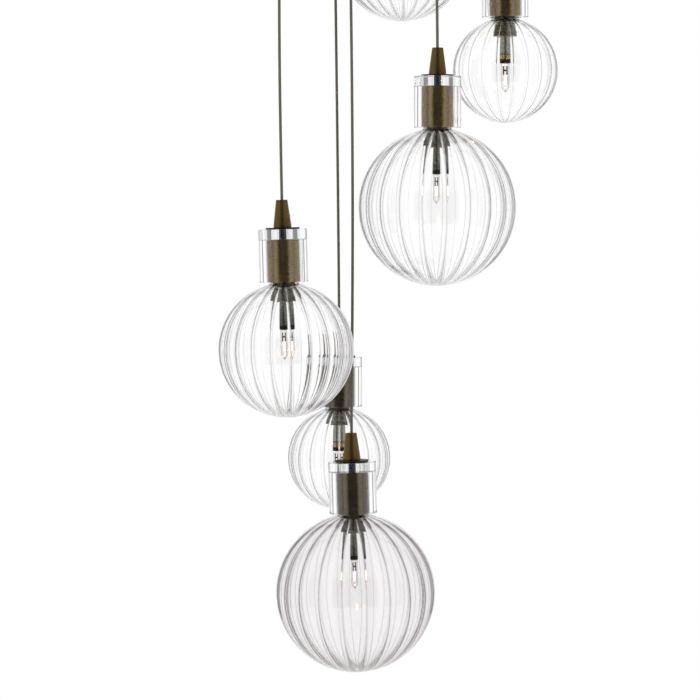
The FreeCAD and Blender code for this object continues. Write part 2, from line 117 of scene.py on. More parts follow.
# ---- Bulb, in millimetres ----
BULB_TOP = 160.2
BULB_RADIUS = 6.4
BULB_WALL = 0.9
BULB_LENGTH = 37.5
BULB_TIP_LENGTH = 2.5
BULB_TIP_ROOT = 1.8
BULB_TIP_END_RADIUS = 0.9
BULB_PLUG = 3.0
FILAMENT_DROP = 15.0        # from the envelope's top to the filament's
FILAMENT_LENGTH = 11.0
FILAMENT_RADIUS = 0.9
FILAMENT_WIRE_RADIUS = 0.19
FILAMENT_TURNS = 18
LEG_SPREAD = 2.6            # from the bulb's axis to each of its stout legs
LEG_RADIUS = 1.1
LEG_GAP = 1.0               # between the legs' ends and the filament's top
WIRE_RADIUS = 0.25
WIRE_BOW = 0.6              # how far out of its leg's line the longer wire stands
BASE_WIDTH = 11.0
BASE_THICKNESS = 3.8
BASE_HEIGHT = 10.0
BASE_BEVEL = 0.9
PIN_RADIUS = 0.6
PIN_SPACING = 9.0
PIN_LENGTH = 7.0

# ---- Globes, in millimetres ----
SIZE_OF = {1: "medium", 2: "small", 3: "large", 4: "medium", 5: "small", 6: "large"}
GLOBE_RADIUS = {"large": 100.0, "medium": 83.5, "small": 67.5}
RIB_TURN = {1: 0.0, 2: 5.8, 3: 5.5, 4: 5.6, 5: 0.5, 6: 8.0}    # from the front towards +X, in degrees
RIB_STRENGTH = {1: 1.0, 2: 0.3, 3: 1.0, 4: 1.0, 5: 1.0, 6: 1.0}    # share of the usual height
RIBS = 20
RIB_SHARE = 0.012           # height of a rib on the glass's inside, as a share of the globe's radius
RIB_ONSET = 8.0             # how far from the neck the ribs take to reach most of their height
RIB_CREST = 0.003           # height of the narrow crest on top of it, as such a share
CREST_POWER = 24.0          # the higher, the narrower the crest
RIB_SHADE_WIDTH = 0.7              # half width of the painted shade line along each rib's crest
RIB_SHADE_TINT = 0.8         # that painted shade line's colour, where clear glass has 1
RIB_OFFSETS = (0.0, 0.3, 0.7, 1.3, 2.4)     # points beside each rib, closer together than between ribs
GAP_SHARES = (0.25, 0.5, 0.75, 1.0)         # points from there to halfway between ribs
GLOBE_GAP = 0.3
GLOBE_RINGS = 100
GLOBE_WALL = 2.5
NECK_RADIUS = 18.0
NECK_WALL = 2.2
NECK_TOP = 79.0
NECK_STEP = 8.0
POLE_RADIUS = 0.5

# ---- Glass that differs from pendant to pendant, and darker copies of the cup and holder tube as painted shade ----
GLASS_OF = {1: "globe_glass_pale", 2: "globe_glass_pale", 6: "globe_glass_grey"}    # else globe_glass
# Painted shade: these pendants get darker copies of the cup's brass and the holder tube's nickel.
PAINTED_SHADE_ON = {"cup": (5, 6), "holder_tube": (3, 4, 6)}
DARK_NICKEL = (0.12, 0.115, 0.1)

# ---- Studio: the light that glass and metal show, as shares of the white backdrop's ----
GAPS = 8                    # dark gaps round the lamp, halfway between the views at steps of 45 degrees
GAP_LEVEL = 0.25
GAP_SHARE = 0.07            # how much of the way from a gap's middle to the next bright part is darkest
SHOULDER = 0.08             # from the darkest part to the shoulder beside it, as such a share
SHOULDER_LEVEL = 0.8
STUDIO_LEVEL = 1.08
FRONT_LEVEL = 0.12          # straight in front, where only reflections show it
FRONT_EDGE = (-0.92, -0.82)     # cosines of the azimuth that the dark front fades out between
FLOOR_HEIGHT = -1.8         # metres
FLOOR_THICKNESS = 0.01
FLOOR_RADIUS = 2.6
LAMPS = (                   # name, place in metres, watts and diameter in metres
    ("key", (-2.2, -2.4, 0.9), 45.0, 1.6),
    ("fill", (2.4, -1.6, 0.4), 25.0, 1.4),
)
LAMP_AIM = (0.0, 0.0, -0.6)

# ---- Cords, in millimetres; their routes are (X off the gland, Z) between gland and grip ----
ROUTES = {
    1: ((0.6, -92.0),),
    2: ((-0.8, -130.0), (0.6, -235.0)),
    3: ((0.5, -180.0), (0.7, -330.0)),
    4: ((-0.6, -220.0), (-4.2, -440.0)),
    5: ((-0.3, -290.0), (1.0, -570.0)),
    6: ((0.9, -290.0), (2.2, -560.0), (0.2, -790.0)),
}
CORD_STEP = 1.6
CORD_SIDES = 20
CORD_STRANDS = 3
CORD_LAY = 16.0             # one turn of a strand round the cord
CORD_RELIEF = 0.03

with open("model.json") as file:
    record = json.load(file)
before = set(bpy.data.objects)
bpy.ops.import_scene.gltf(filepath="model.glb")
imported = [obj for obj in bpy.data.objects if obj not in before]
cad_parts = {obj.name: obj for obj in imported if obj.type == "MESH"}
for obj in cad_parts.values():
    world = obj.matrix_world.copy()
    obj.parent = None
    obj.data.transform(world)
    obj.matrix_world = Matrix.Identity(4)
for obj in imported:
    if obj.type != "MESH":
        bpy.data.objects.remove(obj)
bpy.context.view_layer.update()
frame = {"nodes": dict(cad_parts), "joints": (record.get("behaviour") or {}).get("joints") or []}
joints = {joint["name"]: joint for joint in frame["joints"]}


# ---------------------------------------------------------------- materials

MATERIALS = {}              # by the names given here, which Blender may put a number behind


def new_material(name, **values):
    """Make a Principled material with these socket values; its node tree and shader are returned."""
    material = bpy.data.materials.new(name)
    material.use_nodes = True
    MATERIALS[name] = material
    tree = material.node_tree
    shader = tree.nodes["Principled BSDF"]
    for socket, value in values.items():
        shader.inputs[socket.replace("_", " ")].default_value = value
    return tree, shader


def node(tree, kind, links=None, **settings):
    """A node of this kind, with its attributes set and its inputs linked."""
    made = tree.nodes.new(kind)
    for key, value in settings.items():
        setattr(made, key, value)
    for socket, source in (links or {}).items():
        if isinstance(source, bpy.types.NodeSocket):
            tree.links.new(source, made.inputs[socket])
        else:
            made.inputs[socket].default_value = source
    return made


def object_coordinates(tree, scale):
    """The object's own coordinates, stretched by a scale on each axis."""
    coordinates = node(tree, "ShaderNodeTexCoord")
    mapping = node(tree, "ShaderNodeMapping", {"Vector": coordinates.outputs["Object"]})
    mapping.inputs["Scale"].default_value = scale
    return mapping.outputs["Vector"]


def noise(tree, scale, detail, roughness):
    """Noise on the object's own coordinates, with a scale for each axis."""
    return node(tree, "ShaderNodeTexNoise", {"Vector": object_coordinates(tree, scale), "Scale": 1.0,
                                             "Detail": detail, "Roughness": roughness}).outputs["Fac"]


def ramp(tree, source, stops):
    """A colour ramp with (place, colour) stops."""
    made = node(tree, "ShaderNodeValToRGB", {"Fac": source})
    elements = made.color_ramp.elements
    while len(elements) < len(stops):
        elements.new(0.5)
    for element, (place, colour) in zip(elements, stops):
        element.position = place
        element.color = (*colour, 1.0)
    return made.outputs["Color"]


def remap(tree, source, low, high, from_low, from_high, interpolation="LINEAR"):
    """The source brought from one range of values to another, and kept inside it."""
    made = node(tree, "ShaderNodeMapRange", {"Value": source, "From Min": from_low, "From Max": from_high,
                                             "To Min": low, "To Max": high})
    made.interpolation_type = interpolation
    return made.outputs["Result"]


def math_node(tree, operation, first, second=0.0):
    """The result of an operation on one or two values."""
    return node(tree, "ShaderNodeMath", {0: first, 1: second}, operation=operation).outputs["Value"]


def add_bump(tree, shader, height, strength, distance):
    """Give the shader a bumped normal."""
    bump = node(tree, "ShaderNodeBump", {"Height": height, "Strength": strength, "Distance": distance})
    tree.links.new(bump.outputs["Normal"], shader.inputs["Normal"])


def turn_grain(tree, shader):
    """Let the shader's highlights stretch across a grain that runs round Z."""
    tangent = node(tree, "ShaderNodeTangent", direction_type="RADIAL", axis="Z")
    tree.links.new(tangent.outputs["Tangent"], shader.inputs["Tangent"])


def turned_brass(name, light, dark, red, roughness, line_width=0.35, line_strength=1.0):
    """Antique brass, turned on a lathe: fine rings round Z, with patches of redder and darker patina.

    A line's width is in millimetres."""
    tree, shader = new_material(name, Metallic=1.0, Anisotropic=0.55)
    lines = noise(tree, (25.0, 25.0, 1.0 / (line_width * MM)), 3.0, 0.6)
    patches = noise(tree, (70.0, 70.0, 28.0), 5.0, 0.55)
    patina = ramp(tree, patches, ((0.32, dark), (0.47, light), (0.56, light), (0.72, red)))
    fine = remap(tree, lines, 1.0 - 0.18 * line_strength, 1.0 + 0.12 * line_strength, 0.3, 0.7)
    colour = node(tree, "ShaderNodeVectorMath", {0: patina, 1: fine}, operation="MULTIPLY")
    tree.links.new(colour.outputs["Vector"], shader.inputs["Base Color"])
    tree.links.new(remap(tree, lines, roughness - 0.07, roughness + 0.1, 0.3, 0.7),
                   shader.inputs["Roughness"])
    turn_grain(tree, shader)
    add_bump(tree, shader, lines, 0.12 * line_strength, 0.05 * MM)


def clear_glass(name, ior, absorption, density, ripple_scale, ripple_strength):
    """Clear glass or acrylic with a faint body colour and very slight ripples."""
    tree, shader = new_material(name, Roughness=0.0, IOR=ior, Transmission_Weight=1.0,
                                Base_Color=(1.0, 1.0, 1.0, 1.0))
    body = node(tree, "ShaderNodeVolumeAbsorption", {"Color": (*absorption, 1.0), "Density": density})
    tree.links.new(body.outputs["Volume"], tree.nodes["Material Output"].inputs["Volume"])
    ripples = noise(tree, (ripple_scale,) * 3, 2.0, 0.4)
    add_bump(tree, shader, ripples, ripple_strength, 1.0 * MM)
    return tree, shader


def ribbed_glass(name, absorption, density):
    """Globe glass: clear, with painted shade: a darker line along each rib's crest, where the glass is
    thickest.
    """
    tree, shader = clear_glass(name, 1.50, absorption, density, ripple_scale=14.0, ripple_strength=0.02)
    # Painted shade: the glass's colour is darker along each rib's crest.
    line = node(tree, "ShaderNodeAttribute", attribute_name="painted_rib_shade").outputs["Fac"]
    tree.links.new(ramp(tree, line, ((0.0, (1.0, 1.0, 1.0)), (1.0, (RIB_SHADE_TINT,) * 3))),
                   shader.inputs["Base Color"])


def grained(name, colour, shades, roughness, spread, grain, bump, **values):
    """A material whose colour, roughness and surface vary a little with a noise's grain.

    Shades are the darkest and lightest shares of the colour, spread is how far the roughness goes down
    and up, and grain is the noise's scale and detail."""
    tree, shader = new_material(name, **values)
    speckle = noise(tree, (grain[0],) * 3, grain[1], 0.6)
    darkest, lightest = (tuple(min(1.0, shade * c) for c in colour) for shade in shades)
    tree.links.new(ramp(tree, speckle, ((0.3, darkest), (0.7, lightest))), shader.inputs["Base Color"])
    tree.links.new(remap(tree, speckle, roughness - spread[0], roughness + spread[1], 0.3, 0.7),
                   shader.inputs["Roughness"])
    add_bump(tree, shader, speckle, bump, 0.1 * MM)


def plain_metal(name, colour, roughness, speckle=120.0):
    """A cast, plated or machined metal."""
    grained(name, colour, (0.78, 1.18), roughness, (0.08, 0.1), (speckle, 6.0), 0.08, Metallic=1.0)


def plain_solid(name, colour, roughness):
    """Rubber, ceramic or moulded plastic."""
    grained(name, colour, (0.88, 1.12), roughness, (0.06, 0.06), (300.0, 5.0), 0.1)


def woven_jacket():
    """The cord's dark olive jacket: fine yarns that cross, darker between them as painted shade, on a map
    with U round the cord and V in metres.
    """
    tree, shader = new_material("cord_jacket", Roughness=0.62, Sheen_Weight=0.25, Sheen_Roughness=0.5)
    place = node(tree, "ShaderNodeSeparateXYZ",
                 {"Vector": node(tree, "ShaderNodeTexCoord").outputs["UV"]})
    round_share = place.outputs["X"]
    along = place.outputs["Y"]
    yarns = 8.0
    pitch = 9.0 * MM
    waves = []
    for way in (1.0, -1.0):
        turns = math_node(tree, "MULTIPLY", round_share, yarns * 2.0 * math.pi * way)
        climb = math_node(tree, "MULTIPLY", along, yarns * 2.0 * math.pi / pitch)
        waves.append(math_node(tree, "SINE", math_node(tree, "ADD", turns, climb)))
    weave = math_node(tree, "MAXIMUM", waves[0], waves[1])
    # Painted shade: darker where the weave lies low, between the yarns.
    colour = ramp(tree, remap(tree, weave, 0.0, 1.0, -0.6, 1.0),
                  ((0.0, (0.012, 0.011, 0.008)), (0.6, (0.055, 0.048, 0.034)), (1.0, (0.12, 0.108, 0.075))))
    tree.links.new(colour, shader.inputs["Base Color"])
    add_bump(tree, shader, weave, 0.5, 0.12 * MM)


def lit_filament():
    """Tungsten wire, glowing warm."""
    new_material("filament", Metallic=1.0, Roughness=0.4, Base_Color=(0.5, 0.4, 0.3, 1.0),
                 Emission_Color=(1.0, 0.5, 0.16, 1.0), Emission_Strength=60.0)


def banded_tube(name, gilt, nickel):
    """The lampholder tube: satin nickel, with a gilt band and then a black ring at its lower end."""
    tree, shader = new_material(name, Metallic=1.0, Anisotropic=0.5)
    place = node(tree, "ShaderNodeSeparateXYZ",
                 {"Vector": node(tree, "ShaderNodeTexCoord").outputs["Object"]})
    lines = noise(tree, (20.0, 20.0, 2400.0), 3.0, 0.6)
    height = math_node(tree, "ADD", place.outputs["Z"], math_node(tree, "MULTIPLY", lines, 0.5 * MM))
    share = remap(tree, height, 0.0, 1.0, -HOLDER_END * MM, -RING_END * MM)
    black = (0.012, 0.012, 0.01)
    # The stops are shares of the way up from the tube's lower end to the clamp ring.
    colour = ramp(tree, share, ((0.0, black), (0.145, black), (0.165, gilt), (0.29, gilt),
                                (0.33, DARK_NICKEL), (0.42, nickel), (1.0, nickel)))
    tree.links.new(colour, shader.inputs["Base Color"])
    tree.links.new(remap(tree, lines, 0.2, 0.34, 0.3, 0.7), shader.inputs["Roughness"])
    turn_grain(tree, shader)
    add_bump(tree, shader, lines, 0.1, 0.05 * MM)


def build_materials():
    """Every material of the object's pieces."""
    turned_brass("canopy_brass", (0.30, 0.215, 0.09), (0.17, 0.115, 0.05), (0.27, 0.15, 0.07), 0.3, 0.5)
    turned_brass("fitting_brass", (0.138, 0.092, 0.032), (0.085, 0.055, 0.022), (0.15, 0.066, 0.024),
                 0.34, 0.35, 0.6)
    turned_brass("dark_brass", (0.05, 0.042, 0.022), (0.03, 0.025, 0.015), (0.07, 0.045, 0.02), 0.38)
    turned_brass("cup_brass", (0.185, 0.122, 0.028), (0.135, 0.088, 0.022), (0.19, 0.088, 0.034),
                 0.3, 0.35, 0.3)
    # Painted shade: a darker copy of cup_brass.
    turned_brass("cup_brass_dark", (0.082, 0.056, 0.018), (0.055, 0.038, 0.015), (0.088, 0.045, 0.018),
                 0.3, 0.35, 0.3)
    plain_metal("holder_grey", (0.10, 0.098, 0.066), 0.35)
    plain_metal("dark_wire", (0.07, 0.062, 0.055), 0.5)
    banded_tube("holder_tube", (0.46, 0.32, 0.13), (0.34, 0.35, 0.29))
    # Painted shade: a darker copy of holder_tube.
    banded_tube("holder_tube_dark", DARK_NICKEL, (0.15, 0.155, 0.13))
    plain_metal("zinc_steel", (0.55, 0.56, 0.58), 0.34, 60.0)
    plain_metal("stem_steel", (0.10, 0.11, 0.15), 0.25)
    plain_solid("steatite", (0.82, 0.80, 0.75), 0.5)
    plain_solid("block_plastic", (0.80, 0.80, 0.76), 0.42)
    plain_solid("bush_rubber", (0.025, 0.025, 0.025), 0.7)
    woven_jacket()
    clear_glass("clear_acrylic", 1.49, (0.86, 0.90, 0.92), 3.0, 30.0, 0.01)
    clear_glass("bulb_glass", 1.46, (0.62, 0.54, 0.52), 120.0, 60.0, 0.02)
    ribbed_glass("globe_glass", (0.66, 0.62, 0.64), 20.0)
    ribbed_glass("globe_glass_pale", (0.66, 0.62, 0.64), 12.0)
    ribbed_glass("globe_glass_grey", (0.66, 0.62, 0.63), 85.0)
    lit_filament()


# ---------------------------------------------------------------- meshes

def rounded(corners, radius, steps=4):
    """A closed (r, z) outline with each corner off the axis rounded, as (r, z, normal r, normal z) points.

    The outline runs with its solid on the left, so each edge's outward side is on its right."""
    points = []
    count = len(corners)
    for n, corner in enumerate(corners):
        here = Vector(corner[:2])
        before = Vector(corners[n - 1][:2]) - here
        after = Vector(corners[(n + 1) % count][:2]) - here
        normal_in = outward(-before)
        normal_out = outward(after)
        if here.x <= 1e-6:
            normal = normal_in if abs(normal_in.y) > 0.5 else normal_out
            points.append((0.0, here.y, 0.0, math.copysign(1.0, normal.y)))
            continue
        wanted = corner[2] if len(corner) > 2 else radius
        half = before.angle(after) / 2
        reach = min(wanted / math.tan(half), 0.45 * min(before.length, after.length))
        arc_radius = reach * math.tan(half)
        enter = here + before.normalized() * reach
        convex = normal_in.x * normal_out.y - normal_in.y * normal_out.x > 0
        side = 1.0 if convex else -1.0
        centre = enter - normal_in * arc_radius * side
        for step in range(steps + 1):
            share = step / steps
            normal = slerp(normal_in, normal_out, share)
            place = centre + normal * arc_radius * side
            points.append((place.x, place.y, normal.x, normal.y))
    return points


def outward(edge):
    """The unit normal on the right of an edge."""
    return Vector((edge.y, -edge.x)).normalized()


def slerp(first, second, share):
    """The unit vector at this share of the turn from one to another."""
    turn = math.atan2(first.x * second.y - first.y * second.x, first.dot(second)) * share
    return Vector((first.x * math.cos(turn) - first.y * math.sin(turn),
                   first.x * math.sin(turn) + first.y * math.cos(turn)))


def even_angles(count):
    """Even angles once round."""
    return [2 * math.pi * n / count for n in range(count)]


def about_z(r, angle, z):
    """A point in metres at an angle round Z, from a radius and a height in millimetres."""
    return r * math.cos(angle) * MM, r * math.sin(angle) * MM, z * MM


def mesh_from(name, vertices, faces, normals=None):
    """A smooth-shaded mesh of these vertices and faces, with its own normals where they are given."""
    mesh = bpy.data.meshes.new(name)
    mesh.from_pydata(vertices, [], faces)
    mesh.validate()
    mesh.update()
    mesh.polygons.foreach_set("use_smooth", [True] * len(mesh.polygons))
    if normals:
        mesh.normals_split_custom_set_from_vertices(normals)
    return mesh


def lathe(name, corners, radius=0.3, sides=96, steps=4):
    """A mesh in metres: a closed outline in millimetres, rounded at its corners and turned about Z."""
    outline = rounded(corners, radius, steps)
    vertices = []
    normals = []
    rows = []
    for r, z, normal_r, normal_z in outline:
        count = 1 if r == 0.0 else sides
        rows.append((len(vertices), count))
        for angle in even_angles(sides)[:count]:
            vertices.append(about_z(r, angle, z))
            normals.append((normal_r * math.cos(angle), normal_r * math.sin(angle), normal_z))
    faces = []
    for (first, count), (second, next_count) in zip(rows, rows[1:] + rows[:1]):
        if count == 1 and next_count == 1:
            continue
        for n in range(sides):
            after = (n + 1) % sides
            quad = [first + n % count, first + after % count, second + after % next_count,
                    second + n % next_count]
            face = [v for k, v in enumerate(quad) if v not in quad[:k]]
            faces.append(face)
    return mesh_from(name, vertices, faces, normals)


def tube_outline(outer, inner, low, high):
    """The closed outline of a tube."""
    return ((inner, low), (outer, low), (outer, high), (inner, high))


def ridged_outline(outer, inner, low, high, ridges):
    """The closed outline of a tube with even ridges round its outside."""
    pitch = (high - low) / ridges
    points = [(inner, low)]
    for n in range(ridges):
        foot = low + n * pitch
        end, groove_start, groove_end = (foot + share * pitch for share in RIDGE_SHARES)
        points += [(outer, foot), (outer, end)]
        if n < ridges - 1:
            points += [(outer - RIDGE_DEPTH, groove_start), (outer - RIDGE_DEPTH, groove_end)]
    points += [(outer, high), (inner, high)]
    return points


def rod_outline(radius, low, high):
    """The closed outline of a solid rod."""
    return ((0.0, low), (radius, low), (radius, high), (0.0, high))


def add_object(name, data):
    """An object with this data, in the scene."""
    made = bpy.data.objects.new(name, data)
    bpy.context.scene.collection.objects.link(made)
    return made


def place_piece(name, mesh, material, body, replaced=None, matrix=None):
    """An object of this mesh on its body, where the matrix says, with the node that it stands for.

    Its slot is named as its material."""
    piece = add_object(name, mesh)
    if matrix is not None:
        piece.matrix_world = matrix
    if not mesh.materials:
        mesh.materials.append(None)     # the slot: the pieces that share a mesh may differ in material
    piece.material_slots[0].link = "OBJECT"
    piece.material_slots[0].material = MATERIALS[material]
    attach(piece, body)
    if replaced:
        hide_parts(replaced)
    return piece


def hexagon(name, flats, bore, low, high):
    """A chamfered hexagonal nut in metres, about Z."""
    sides = 72
    corner = flats / math.sqrt(3.0)
    chamfer = 0.6
    vertices = []
    for z, limit in ((low, flats / 2), (low + chamfer, corner), (high - chamfer, corner),
                     (high, flats / 2)):
        for angle in even_angles(sides):
            from_flat = (angle + math.pi / 6) % (math.pi / 3) - math.pi / 6
            vertices.append(about_z(min(flats / 2 / math.cos(from_flat), limit), angle, z))
    for z in (high, low):
        vertices += [about_z(bore, angle, z) for angle in even_angles(sides)]
    mesh = mesh_from(name, vertices, ring_faces(len(vertices) // sides, sides, closed=True))
    mesh.set_sharp_from_angle(angle=math.radians(25))
    return mesh


def ring_faces(rows, sides, closed=False):
    """Quads between rows of points that each run once round."""
    faces = []
    for row in range(rows if closed else rows - 1):
        following = (row + 1) % rows
        for n in range(sides):
            after = (n + 1) % sides
            faces.append((row * sides + n, row * sides + after, following * sides + after,
                          following * sides + n))
    return faces


def threaded_rod(name, radius, bore, low, high, pitch, depth, sides=32, per_turn=6):
    """A hollow rod in metres with a real helical thread outside."""
    rows = int((high - low) / pitch * per_turn)
    vertices = []
    for row in range(rows + 1):
        z = low + (high - low) * row / rows
        end = min(1.0, (z - low) / pitch, (high - z) / pitch)
        for n, angle in enumerate(even_angles(sides)):
            phase = (z / pitch - n / sides) % 1.0
            r = radius - depth * abs(2 * phase - 1) * end - depth * (1 - end)
            vertices.append(about_z(r, angle, z))
    for z in (high, low):
        vertices += [about_z(bore, angle, z) for angle in even_angles(sides)]
    mesh = mesh_from(name, vertices, ring_faces(rows + 3, sides, closed=True))
    mesh.set_sharp_from_angle(angle=math.radians(50))
    return mesh


# ---------------------------------------------------------------- globes

def rib_azimuths(radius):
    """Angles round a ring, each with its distance along the ring from its rib and half the ribs' pitch.

    They lie closer together beside each rib."""
    step = 2 * math.pi / RIBS
    half = step / 2 * radius
    squeeze = min(1.0, 0.5 * half / RIB_OFFSETS[-1])
    near = [offset * squeeze for offset in RIB_OFFSETS]
    one_side = near + [near[-1] + (half - near[-1]) * share for share in GAP_SHARES]
    row = []
    for rib in range(RIBS):
        for offset in one_side[:-1]:
            row.append((rib * step + offset / radius, offset, half))
        for offset in reversed(one_side[1:]):
            row.append(((rib + 1) * step - offset / radius, offset, half))
    return row


def globe_skin(sphere, neck, centre, rib_height, crest_height):
    """Rows of points from the neck's top down to the lower pole, with ribs that point inwards.

    A second list says how much of the painted shade line along a rib each point has."""
    rows = []
    lines = []
    for z in (NECK_TOP, NECK_TOP + NECK_STEP, NECK_TOP + 2 * NECK_STEP):
        rows.append([(neck * math.cos(azimuth), neck * math.sin(azimuth), -z)
                     for azimuth, _, _ in rib_azimuths(neck)])
        lines += [0.0] * len(rows[-1])
    first = math.asin(neck / sphere)
    last = math.pi - math.asin(POLE_RADIUS / sphere)
    for n in range(GLOBE_RINGS + 1):
        polar = first + (last - first) * n / GLOBE_RINGS
        plain = sphere * math.sin(polar)
        bare = neck if polar < math.pi / 2 else 0.0
        fade = 1.0 - math.exp(-max(plain - bare, 0.0) / RIB_ONSET)
        row = []
        for azimuth, offset, half in rib_azimuths(plain):
            lobe = 1.0 - offset / half
            distance = sphere - fade * (rib_height * lobe ** 2 + crest_height * lobe ** CREST_POWER)
            row.append((distance * math.sin(polar) * math.cos(azimuth),
                        distance * math.sin(polar) * math.sin(azimuth),
                        centre + distance * math.cos(polar)))
            # How much painted rib shade each point gets.
            lines.append(fade * math.exp(-(offset / RIB_SHADE_WIDTH) ** 2) if crest_height else 0.0)
        rows.append(row)
    return rows, lines


def globe_mesh(size, strength):
    """A blown globe with its neck, smooth outside and ribbed inside, in metres in the head's own frame."""
    sphere = GLOBE_RADIUS[size]
    centre = -(SLEEVE_END + GLOBE_GAP + sphere)
    outer, outer_shade = globe_skin(sphere, NECK_RADIUS, centre, 0.0, 0.0)
    inner, inner_shade = globe_skin(sphere - GLOBE_WALL, NECK_RADIUS - NECK_WALL, centre,
                                    RIB_SHARE * sphere * strength, RIB_CREST * sphere)
    sides = len(outer[0])
    rows = list(reversed(inner)) + outer
    inner_shade = [line for row in reversed(range(len(inner)))
                   for line in inner_shade[row * sides:(row + 1) * sides]]
    vertices = [tuple(c * MM for c in point) for row in rows for point in row]
    faces = [tuple(reversed(face)) for face in ring_faces(len(rows), sides)]
    for row, z, flip in ((0, centre - sphere + GLOBE_WALL, False), (len(rows) - 1, centre - sphere, True)):
        vertices.append((0.0, 0.0, z * MM))
        pole = len(vertices) - 1
        for n in range(sides):
            face = (row * sides + n, row * sides + (n + 1) % sides, pole)
            faces.append(tuple(reversed(face)) if flip else face)
    mesh = mesh_from("globe_" + size, vertices, faces)
    edit = bmesh.new()
    edit.from_mesh(mesh)
    bmesh.ops.recalc_face_normals(edit, faces=edit.faces)
    edit.to_mesh(mesh)
    edit.free()
    # Painted shade along the ribs, read by the glass's material.
    painted_rib_shade = mesh.attributes.new("painted_rib_shade", "FLOAT", "POINT")
    poles = [0.0, 0.0]
    painted_rib_shade.data.foreach_set("value", inner_shade + outer_shade + poles)
    return mesh


# ---------------------------------------------------------------- pendants

def head_matrix(number):
    """The head's own frame, from its flange disc's middle and the direction its globe comes down in."""
    down = Vector(joints["globe_lower_%d" % number]["axis"]).normalized()
    low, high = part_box("flange_disc_%d" % number)
    middle = (low + high) / 2
    origin = middle - down * (GRIP_HEIGHT + SLEEVE_TOP) / 2 * MM
    up = -down
    across = Vector((0.0, 1.0, 0.0)).cross(up).normalized()
    matrix = Matrix((across, up.cross(across), up)).transposed().to_4x4()
    matrix.translation = origin
    return matrix


def head_meshes():
    """The pieces of a head that all six share: name, mesh, material, slot and the node each stands for."""
    grip = lathe("cord_grip", (
        (GRIP_BORE_RADIUS, 0.0, 0.5), (GRIP_BORE_RADIUS, -STEM_TOP), (STEM_RADIUS, -STEM_TOP),
        (STEM_RADIUS, -GRIP_HEIGHT), (GRIP_BASE_RADIUS, -GRIP_HEIGHT, 0.4),
        (GRIP_BASE_RADIUS, -GRIP_CONE, 2.0), (GRIP_TOP_RADIUS, 0.0, 0.7)), 0.2, 96, 5)
    flange = lathe("flange_disc", tube_outline(FLANGE_RADIUS, STEM_HOLE_RADIUS, -SLEEVE_TOP, -GRIP_HEIGHT),
                   0.5, 128)
    sleeve = lathe("clear_sleeve", (
        (STEM_HOLE_RADIUS, -SLEEVE_TOP, 0.2), (STEM_HOLE_RADIUS, -CUP_START, 0.2),
        (SLEEVE_BORE_RADIUS, -CUP_START, 0.8), (SLEEVE_BORE_RADIUS, -SLEEVE_END, 0.5),
        (SLEEVE_RADIUS, -SLEEVE_END, 1.0), (SLEEVE_RADIUS, -SLEEVE_TOP, 1.0)), 0.5, 192, 6)
    inner = CUP_RADIUS - CUP_WALL
    cup_low = -CUP_START - CUP_TOP
    cup = lathe("lamp_cup", (
        (STEM_HOLE_RADIUS, -CUP_START), (STEM_HOLE_RADIUS, cup_low), (inner, cup_low, 1.0),
        (inner, -CUP_END, 0.4), (CUP_RADIUS, -CUP_END, 0.5), (CUP_RADIUS, -CUP_START, 1.2)), 0.2, 128, 5)
    stem = threaded_rod("stem", STEM_RADIUS, STEM_BORE_RADIUS, -STEM_END, -STEM_TOP, 1.0, 0.55)
    nut_low = cup_low - STEM_NUT_HEIGHT
    nut = hexagon("stem_nut", STEM_NUT_FLATS, STEM_RADIUS, nut_low, cup_low)
    carrier = lathe("carrier", tube_outline(HOLDER_RADIUS, STEM_RADIUS, -SLEEVE_END, nut_low), 0.3, 64)
    collar = lathe("collar", ridged_outline(COLLAR_RADIUS, HOLDER_RADIUS, -COLLAR_END, -SLEEVE_END,
                                            COLLAR_RIDGES), 0.25, 96, 2)
    ring = lathe("clamp_ring", ridged_outline(RING_RADIUS, HOLDER_RADIUS, -RING_END, -COLLAR_END,
                                              RING_RIDGES), 0.4, 96, 3)
    tube = lathe("holder_tube", tube_outline(HOLDER_RADIUS, HOLDER_RADIUS - HOLDER_WALL, -HOLDER_END,
                                             -SLEEVE_END), 0.25, 64)
    return (
        ("grip", grip, "fitting_brass", "fitting_brass", "cord_grip"),
        ("flange", flange, "dark_brass", "dark_brass", "flange_disc"),
        ("sleeve", sleeve, "clear_acrylic", "clear_acrylic", "clear_sleeve"),
        ("cup", cup, "cup_brass", "cup_brass", "lamp_cup"),
        ("stem", stem, "stem_steel", "holder_brass", "lampholder"),
        ("stem_nut", nut, "zinc_steel", "holder_brass", None),
        ("carrier", carrier, "holder_grey", "holder_brass", None),
        ("collar", collar, "holder_grey", "holder_brass", None),
        ("clamp_ring", ring, "holder_grey", "holder_brass", None),
        ("holder_tube", tube, "holder_tube", "holder_brass", None),
        ("insert", insert_mesh(), "steatite", "holder_brass", None),
    )


def insert_mesh():
    """The ceramic insert: a plug with a round socket for the bulb's base in its lower face."""
    radius = HOLDER_RADIUS - HOLDER_WALL
    low = -HOLDER_END + INSERT_RECESS
    return lathe("insert", (
        (0.0, low + SOCKET_DEPTH), (SOCKET_RADIUS, low + SOCKET_DEPTH), (SOCKET_MOUTH_RADIUS, low),
        (radius, low), (radius, low + INSERT_LENGTH), (0.0, low + INSERT_LENGTH)), 0.3, 64)


